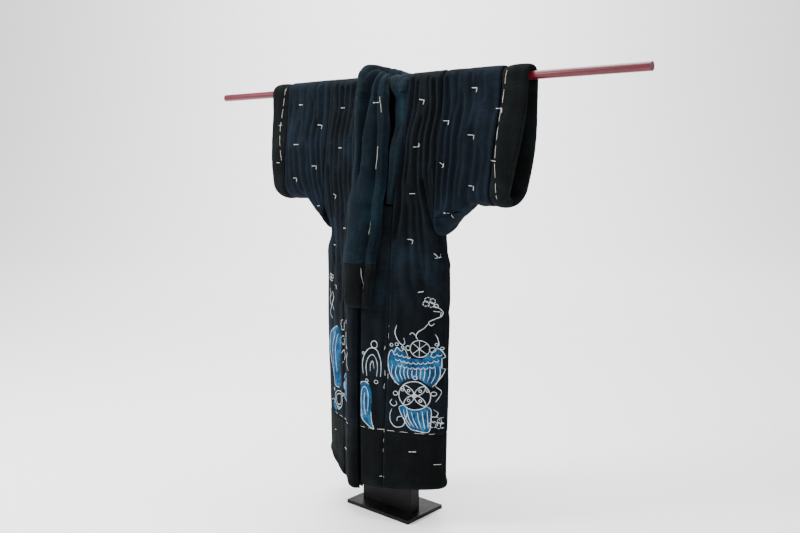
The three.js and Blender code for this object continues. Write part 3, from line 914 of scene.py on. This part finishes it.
def build_collar():
    over = collar_place(COVER_TOP + 0.2, COLLAR_TOP, False, True)
    cover = collar_place(COLLAR_FOOT, COVER_TOP - 0.2, True, False)
    for word, counts, size, place, material, slot in (
            ("over", (count(128), count(160)), (270, 738), over, collar_cotton, "collar_cloth"),
            ("cover", (count(128), count(60)), (270, 174), cover, black_cotton, "black_cloth"),
            ("under", (28, count(90)), (120, 504), arm_place, collar_cotton, "collar_cloth"),
            ("neck", (24, count(90)), (170, 470), neck_place, collar_cotton, "collar_cloth")):
        piece = tube_cloth("stuffed_collar_" + word, counts, size, place, material, slot)
        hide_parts("collar_" + word)


# ---- thread and dye that follow the finished cloth ----
def cloth_surface():
    bm = bmesh.new()
    for obj in pieces.values():
        bm.from_mesh(obj.data)
    tree = BVHTree.FromBMesh(bm)
    bm.free()
    return tree


def on_cloth(tree, x, z, behind=False):
    """The cloth first met from the front, or from behind, at a place given in world millimetres."""
    face = 1 if behind else -1
    hit, normal, _, _ = tree.ray_cast(Vector((x / 1000, face, z / 1000)), Vector((0, -face, 0)))
    if hit is None:
        hit, normal, _, _ = tree.find_nearest(Vector((x / 1000, 0.05 * face, z / 1000)))
    return hit, normal


def flow(points, spacing, closed=False):
    """A smooth line through given (x, z) points, as points about one spacing apart."""
    dots = [Vector((x, 0, z)) for x, z in points]
    if closed:
        dots = [dots[-1]] + dots + [dots[0], dots[1]]
    length = sum((b - a).length for a, b in zip(dots, dots[1:]))
    number = max(2, int(length / spacing))
    low, high = (1 / (len(dots) - 1), 1 - 1 / (len(dots) - 1)) if closed else (0, 1)
    return [catmull(dots, mix(low, high, i / number)) for i in range(number + 1)]


def along(bm, tree, line, columns, behind=False):
    """A grid along a line on the cloth. Gives each vertex, its share across, its place, the cloth's
    normal, the direction across the line, and how near the end it is: 0 halfway, 1 at an end."""
    last = len(line) - 1
    verts = bmesh.ops.create_grid(bm, x_segments=columns, y_segments=last, size=0.5)["verts"]
    spots = [on_cloth(tree, p.x, p.z, behind) for p in line]
    for v in verts:
        row = round((v.co.y + 0.5) * last)
        spot, normal = spots[row]
        ahead = spots[min(row + 1, last)][0] - spots[max(row - 1, 0)][0]
        yield v, v.co.x + 0.5, spot, normal, normal.cross(ahead).normalized(), abs(2 * row / last - 1)


def ribbon(bm, tree, line, width, lift, taper=0.0):
    """A flat band of colour along a line, its middle a little above its two sides."""
    for v, share, spot, _, side, ends in along(bm, tree, line, 2):
        across = 2 * share - 1
        place, up, _, _ = tree.find_nearest(spot + side * across * width * (1 - taper * ends ** 3) / 2000)
        v.co = place + up * (lift if abs(across) < 0.5 else lift * 0.55) / 1000


def dashes(bm, tree, line, width, lift, on, off):
    for start in range(0, len(line) - on, on + off):
        ribbon(bm, tree, line[start:start + on + 1], width, lift, 0.5)


def ring_line(x, z, radius, start=0.0, turns=1.0, spacing=4.0):
    number = max(8, int(2 * math.pi * radius * turns / spacing))
    return [Vector((x + radius * math.cos(start + 2 * math.pi * turns * i / number), 0,
                    z + radius * math.sin(start + 2 * math.pi * turns * i / number)))
            for i in range(number + 1)]


def patch(bm, tree, outline, centre, lift):
    """An area of brushed dye: rings that shrink from the outline to a centre, all on the cloth."""
    rim = flow(outline, 7, closed=True)
    heart = Vector((centre[0], 0, centre[1]))
    reach = max((p - heart).length for p in rim)
    rings = max(3, int(reach / 8))
    made = bmesh.ops.create_grid(bm, x_segments=len(rim) - 1, y_segments=rings, size=0.5)["verts"]
    for v in made:
        i = round((v.co.x + 0.5) * (len(rim) - 1))
        share = v.co.y + 0.5
        p = rim[i] + (heart - rim[i]) * share
        spot, normal = on_cloth(tree, p.x, p.z)
        v.co = spot + normal * (lift if share > 0.01 else 0.1) / 1000


def stroke(bm, tree, line, radius, lift, behind=False):
    """A raised stitch: a short round thread that dives into the cloth at both ends."""
    for v, share, spot, normal, side, ends in along(bm, tree, line, 6, behind):
        turn = 2 * math.pi * share
        height = lift * (1 - ends ** 4) - DIVE * ends ** 6
        out = normal * (height + radius * math.sin(turn)) + side * radius * math.cos(turn)
        v.co = spot + out / 1000


def straight(a, b):
    shares = [i / 5 for i in range(6)]
    return [Vector((mix(a[0], b[0], t), 0, mix(a[1], b[1], t))) for t in shares]


SPACING = 5        # millimetres between the points of a line of thread or paste
SAME_PLACE = 0.00002        # metres; closer points than this are one
TIE_RADIUS = 0.7
TIE_LIFT = 0.6
RUN_RADIUS = 0.45
RUN_LIFT = 0.4
DIVE = 0.9        # how far the ends of a stitch go into the cloth
PASTE_LIFT = 1.2
CROSSING_LIFT = 1.3
LINE_SHARE = 0.62
DYE_LIFT = 0.7
# The shapes a tying stitch makes, each as straight bars between offsets in millimetres.
corner = [((-19, 1), (4, 0)), ((5, 1), (5, -16))]
hook = [((-19, 0), (6, 0)), ((7, 0), (9, 9)), ((9, 8), (4, 13))]
short_bar = [((-11, 0), (10, 1))]
knotted = [((-13, 0), (13, -1)), ((-13, 2), (-9, -3))]
star = [((-10, 8), (4, -4)), ((-3, -10), (10, -5)), ((4, 6), (8, -9))]
# Tying stitches through all the layers: a place and a shape.
ties = [
    (204, 1625, corner), (198, 1456, hook), (182, 1284, short_bar), (176, 1113, corner),
    (214, 919, short_bar), (318, 1547, corner), (306, 1391, star), (435, 1657, corner),
    (434, 1494, corner), (443, 1317, corner), (335, 1216, corner), (545, 1582, corner),
    (535, 1405, knotted), (262, 1056, star), (270, 845, corner), (188, 300, knotted),
    (264, 251, short_bar), (71, 185, short_bar), (9, 1623, knotted), (-463, 1636, knotted),
    (-207, 1614, knotted), (-339, 1548, corner), (-578, 1553, short_bar), (-476, 1472, knotted),
    (-202, 1456, knotted), (-358, 1383, corner), (-576, 1395, short_bar), (-472, 1332, corner),
    (-221, 1269, corner), (-339, 1220, short_bar), (-234, 1066, knotted), (-214, 905, corner),
    (-150, 1140, short_bar), (-228, 300, short_bar), (-120, 255, knotted),
]
TIE_STEP = 190


def ties_behind():
    """Ties on the back, in a staggered grid: five or six across the sleeves, two or three below."""
    found = []
    for row in range(8):
        for column in range(-3, 3):
            x = column * TIE_STEP + (TIE_STEP / 2 if row % 2 else 0) - 10
            if abs(x) < (560 if row < 3 else 250):
                found.append((x, 1600 - 165 * row, corner, True))
    return found


# Long running stitches along seams, each a line with the length of thread on and off it in steps.
runs = [
    ([(562, 1712), (550, 1610), (541, 1509), (541, 1408), (548, 1307), (548, 1268)], 9, 2),
    ([(-560, 1712), (-572, 1639), (-578, 1551), (-567, 1449), (-540, 1344)], 9, 2),
    ([(-230, 376), (-131, 376), (-44, 373)], 6, 2),
    ([(-28, 374), (31, 373), (88, 374), (161, 373), (238, 372), (276, 378)], 6, 2),
    ([(20, 1650), (44, 1575)], 14, 5),
    ([(52, 1463), (47, 1366)], 20, 5),
    ([(42, 1186), (35, 1126)], 20, 5),
    ([(13, 1008), (15, 908)], 20, 5),
    ([(97, 800), (93, 700)], 5, 4),
    ([(82, 610), (80, 515)], 5, 5),
    ([(96, 600), (97, 545)], 5, 4),
    ([(76, 380), (72, 280)], 4, 4),
    ([(-103, 790), (-102, 610)], 5, 5),
    ([(-60, 820), (-58, 818)], 1, 1),
]


def build_stitches():
    tree = cloth_surface()
    bm = bmesh.new()
    for x, z, shape, behind in [tie + (False,) for tie in ties] + ties_behind():
        tilt = 0.25 * noise.noise(Vector((x * 0.37, z * 0.29, 1.7)))
        for a, b in shape:
            ends = [(x + p[0] * math.cos(tilt) - p[1] * math.sin(tilt),
                     z + p[0] * math.sin(tilt) + p[1] * math.cos(tilt)) for p in (a, b)]
            stroke(bm, tree, straight(*ends), TIE_RADIUS, TIE_LIFT, behind)
    for points, on, off in runs:
        line = flow(points, SPACING)
        for start in range(0, max(1, len(line) - on), on + off):
            part = line[start:start + on + 1]
            if len(part) > 1:
                stroke(bm, tree, part, RUN_RADIUS, RUN_LIFT)
    bmesh.ops.remove_doubles(bm, verts=bm.verts[:], dist=SAME_PLACE)
    bmesh.ops.recalc_face_normals(bm, faces=bm.faces[:])
    new_object("cotton_stitches", bm, thread)


# ---- the paste-resist design, a generic one of plumes, medallions and tassels ----
# Brushed areas: outlines of (x, z) places, each then paired with its centre.
feathers = [(124, 572), (106, 600), (97, 640), (102, 676), (118, 698), (140, 702), (158, 684),
            (174, 668), (196, 664), (228, 664), (246, 676), (256, 700), (270, 704), (282, 686),
            (287, 650), (282, 612), (268, 580), (254, 558), (236, 568), (216, 582), (194, 588),
            (170, 584), (150, 570), (138, 558)]
tassel = [(138, 470), (146, 440), (160, 415), (172, 398), (186, 386), (204, 382), (224, 378),
          (242, 384), (248, 420), (249, 468), (232, 482), (214, 468), (194, 463), (172, 468), (154, 482)]
ribbon_end = [(0, 556), (-20, 548), (-31, 520), (-32, 480), (-26, 440), (-10, 405), (14, 384),
              (38, 372), (30, 402), (27, 440), (30, 480), (28, 520), (18, 548)]
wing = [(-196, 742), (-232, 728), (-266, 700), (-280, 650), (-270, 590), (-246, 540), (-222, 496),
        (-190, 488), (-172, 520), (-176, 580), (-166, 640), (-164, 700)]
bud = [(-120, 566), (-138, 540), (-142, 500), (-132, 466), (-112, 452), (-98, 480), (-96, 524),
       (-106, 556)]
tip = [(-244, 432), (-222, 420), (-206, 396), (-226, 384), (-250, 396)]
blue_areas = [(feathers, (194, 634)), (tassel, (200, 430)), (ribbon_end, (0, 470)), (wing, (-216, 620)),
              (bud, (-120, 508)), (tip, (-230, 406))]
# Resist lines: (x, z) places and a width, which LINE_SHARE turns to millimetres.
lines = [
    ([(250, 866), (268, 862), (280, 846), (276, 828), (258, 818), (240, 806), (246, 792), (256, 800)],
      4.0),
    ([(240, 802), (226, 782), (208, 768), (200, 752), (206, 738)], 4.0),
    ([(200, 752), (188, 764), (178, 756)], 4.0),
    ([(131, 790), (126, 762), (134, 738), (150, 716), (162, 724), (158, 742)], 4.0),
    ([(258, 760), (266, 744), (269, 720), (262, 708)], 4.0),
    ([(190, 722), (212, 703), (236, 684)], 3.4),
    ([(190, 684), (212, 703), (236, 724)], 3.4),
    ([(212, 735), (212, 671)], 3.4),
    ([(138, 558), (124, 572), (106, 600), (97, 640), (102, 676), (112, 692), (122, 684), (132, 704),
      (146, 690), (158, 698), (174, 668)], 4.4),
    (feathers[10:18], 4.4),
    (tassel[-1:] + tassel[:11], 4.0),
    ([(152, 464), (162, 430), (180, 402)], 4.0),
    ([(168, 458), (176, 426), (192, 396)], 4.0),
    ([(184, 456), (190, 424), (204, 392)], 4.0),
    ([(202, 456), (206, 424), (216, 390)], 4.0),
    ([(219, 460), (222, 428), (228, 392)], 4.0),
    ([(236, 464), (238, 430), (239, 396)], 4.0),
    ([(112, 462), (104, 440), (106, 412), (124, 392), (148, 396), (158, 416), (148, 434), (132, 430),
      (130, 416)], 4.0),
    ([(166, 470), (168, 446), (160, 424)], 3.4),
    ([(256, 470), (268, 456), (260, 440), (246, 446)], 4.0),
    ([(112, 500), (104, 486), (116, 474), (130, 482), (126, 496)], 4.0),
    ([(262, 560), (276, 540), (270, 516), (262, 500)], 4.0),
    ([(-6, 588), (-10, 626), (-2, 660), (16, 686), (34, 692), (54, 684), (66, 660), (70, 622),
      (68, 584)], 4.4),
    ([(10, 580), (6, 618), (14, 650), (32, 666), (48, 652), (54, 620), (50, 582)], 4.0),
    ([(22, 600), (24, 628), (34, 640), (40, 612)], 3.6),
    (ribbon_end[-1:] + ribbon_end[:10], 4.4),
    ([(-12, 416), (-18, 466), (-14, 518), (0, 536), (13, 518), (15, 480), (12, 440)], 3.8),
    ([(-1, 512), (-3, 470), (3, 424)], 3.8),
    ([(80, 690), (84, 704)], 4.0),
    ([(-276, 884), (-262, 862), (-274, 838), (-258, 814), (-268, 788), (-250, 764)], 4.4),
    ([(-248, 876), (-240, 850), (-250, 826), (-238, 800)], 4.0),
    (wing[:8], 4.4),
    ([(-214, 716), (-240, 680), (-248, 630), (-236, 576)], 4.2),
    ([(-190, 712), (-208, 670), (-214, 610), (-206, 550)], 4.2),
    ([(-166, 752), (-150, 776), (-134, 764), (-138, 740), (-152, 736), (-156, 752)], 4.0),
    ([(-160, 700), (-144, 712), (-132, 694), (-142, 676), (-154, 684)], 4.0),
    ([(-154, 640), (-138, 656), (-126, 636), (-136, 616), (-150, 600)], 4.0),
    ([(-92, 742), (-104, 716), (-96, 690), (-82, 676)], 4.0),
    ([(-78, 660), (-92, 636), (-88, 606), (-74, 590)], 4.0),
    (bud[:5], 4.2),
    ([(-116, 548), (-124, 516), (-118, 476)], 3.8),
    ([(-262, 418), (-246, 426), (-230, 414), (-216, 424)], 4.0),
    ([(-206, 408), (-190, 398), (-172, 408)], 4.0),
]
# Circles: a centre and a radius.
circles = [(263, 868, 7), (212, 703, 32), (172, 704, 9), (251, 700, 9), (126, 525, 8), (257, 531, 8),
           (196, 590, 7), (150, 540, 5), (238, 542, 5), (40, 706, 14), (-6, 668, 5), (10, 562, 6),
           (48, 560, 7), (-187, 441, 34), (-187, 441, 22), (-236, 470, 6), (-150, 470, 6),
           (112, 712, 6), (132, 716, 6), (152, 706, 5), (262, 720, 5), (278, 706, 5)]
# Flowers of four dashed petals: a centre and a size.
dashed_flowers = [(242, 881, 17), (266, 418, 22), (-262, 932, 14)]


def build_motif():
    tree = cloth_surface()
    dye = bmesh.new()
    for outline, centre in blue_areas:
        patch(dye, tree, outline, centre, DYE_LIFT)
    bmesh.ops.remove_doubles(dye, verts=dye.verts[:], dist=SAME_PLACE)
    bmesh.ops.recalc_face_normals(dye, faces=dye.faces[:])
    new_object("brushed_dye_areas", dye, blue_dye)
    white = bmesh.new()

    def band(line, width, lift=PASTE_LIFT, taper=0.0):
        ribbon(white, tree, line, width, lift, taper)

    for points, width in lines:
        band(flow(points, SPACING), LINE_SHARE * width, taper=0.4)
    for x, z, radius in circles:
        band(ring_line(x, z, radius), 2.2)
    # The medallion: a rim and interlocking circles whose overlaps read as four-petalled flowers.
    cx, cz, radius = 193, 520, 55
    band(ring_line(cx, cz, radius), 2.8)
    inner = radius / math.sqrt(2)
    for quarter in range(4):
        angle = quarter * math.pi / 2
        at = (cx + inner * math.cos(angle), cz + inner * math.sin(angle))
        band(ring_line(at[0], at[1], inner, angle + math.pi / 2, 0.5), 2.6, CROSSING_LIFT)
        leaf = (cx + 27 * math.cos(angle + math.pi / 4), cz + 27 * math.sin(angle + math.pi / 4))
        band(ring_line(leaf[0], leaf[1], 5, spacing=2), 2.2, CROSSING_LIFT)
    band(ring_line(cx, cz, 7, spacing=2.5), 2.4, CROSSING_LIFT)
    # Rows of scallops across the top of the plume, then the long curved strokes of its feathers.
    for z, first, last, step in ((684, 126, 270, 16), (664, 134, 262, 16), (644, 142, 250, 18)):
        for k in range(int((last - first) / step) + 1):
            x = first + k * step
            if abs(x - 212) > 34 or z < 684:
                dip = 14 * (1 - ((x - 196) / 76) ** 2)
                band(ring_line(x, z - dip, 7, math.pi, 0.5, 2.5), 2.4, CROSSING_LIFT, 0.4)
    for k in range(12):
        x = 116 + k * 14.2
        lean = (x - 194) * 0.13
        top = 640 - 16 * (1 - ((x - 194) / 84) ** 2)
        foot = 560 + 26 * (1 - ((x - 194) / 84) ** 2)
        feather = [(x, top), (x + 0.2 * lean - 2, (top + foot) / 2), (x - lean, foot)]
        band(flow(feather, SPACING), 2.6, taper=0.7)
    for x, z, size in dashed_flowers:
        for petal in range(4):
            angle = petal * math.pi / 2 + 0.5
            at = (x + size * 0.62 * math.cos(angle), z + size * 0.62 * math.sin(angle))
            petal_rim = ring_line(at[0], at[1], size * 0.55, spacing=2.4)
            dashes(white, tree, petal_rim, 2.6, CROSSING_LIFT, 3, 1)
    new_object("paste_resist_lines", white, resist)


# ---- the carried-over stand and rod ----
def repaint(name, material):
    materials = frame["nodes"][name].data.materials
    materials.clear()
    materials.append(material)


build_body()
build_hems()
build_overlaps()
build_sleeves()
build_cuffs()
build_collar()
build_stitches()
build_motif()
repaint("rod", lacquer())
steel = painted_steel()
for part in ("post", "post_head", "base_plate"):
    repaint(part, steel)


# ---- the studio ----
FLOOR_HALF = 14
FLOOR_START = -10
FLAT_RUN = 18
SWEEP = 4
TURNED = math.radians(41.24)        # the camera stands this far round from the front
TILTED = math.radians(90 - 7.22)
CAMERA_AT = (2.2155, -2.4916, 1.4111)
CAMERA_LENS = 38.16
SENSOR = 36


def matt_paint(name, colour):
    """Even matt paint, so that the floor and the wall run into each other."""
    material, tree, shader, at = new_material(name)
    fit(tree, shader, {"Base Color": linear(colour), "Roughness": 0.6}, {})
    return material


def build_floor():
    """A floor that turns up into a far wall in a wide sweep, as in a studio."""
    bm = bmesh.new()
    bmesh.ops.create_grid(bm, x_segments=1, y_segments=80, size=FLOOR_HALF)
    arc = SWEEP * math.pi / 2
    for v in bm.verts:
        run = v.co.y + FLOOR_HALF
        turn = clamp((run - FLAT_RUN) / arc) * math.pi / 2
        v.co.y = min(run, FLAT_RUN) + FLOOR_START + SWEEP * math.sin(turn)
        v.co.z = SWEEP * (1 - math.cos(turn)) + max(0, run - FLAT_RUN - arc)
    bmesh.ops.rotate(bm, verts=bm.verts[:], cent=(0, 0, 0), matrix=Matrix.Rotation(TURNED, 3, "Z"))
    mesh = bpy.data.meshes.new("floor")
    bm.to_mesh(mesh)
    bm.free()
    mesh.materials.append(matt_paint("pale_studio_floor", "#f2f2f5"))
    return bpy.data.objects.new("floor", mesh)


def build_stage():
    stage = [build_floor()]
    for name, at, aim, size, power in (
            ("key", (-2.8, -3.3, 3.2), (0.1, 0, 1.1), 1.4, 380),
            ("fill", (3.8, -3.6, 3.0), (-0.6, 1.4, 1.0), 3.0, 190),
            ("wall", (-4.5, 5.0, 7.5), (-6.0, 7.5, 1.0), 5.0, 1400),
            ("top", (-0.4, 0.2, 4.4), (-0.7, 1.3, 0.8), 2.6, 300)):
        lamp = bpy.data.lights.new(name, "AREA")
        lamp.energy = power
        lamp.size = size
        obj = bpy.data.objects.new(name, lamp)
        obj.location = at
        obj.rotation_euler = (Vector(aim) - Vector(at)).to_track_quat("-Z", "Y").to_euler()
        stage.append(obj)
    data = bpy.data.cameras.new("camera")
    data.lens = CAMERA_LENS
    data.sensor_width = SENSOR
    camera = bpy.data.objects.new("camera", data)
    camera.location = CAMERA_AT
    camera.rotation_euler = (TILTED, 0, TURNED)
    stage.append(camera)
    for obj in stage:
        bpy.context.collection.objects.link(obj)
    bpy.context.scene.camera = camera
    sky = bpy.data.worlds.new("studio")
    sky.use_nodes = True
    background = sky.node_tree.nodes["Background"]
    background.inputs["Color"].default_value = linear("#f6f6f7")
    background.inputs["Strength"].default_value = 0.95
    bpy.context.scene.world = sky


build_stage()
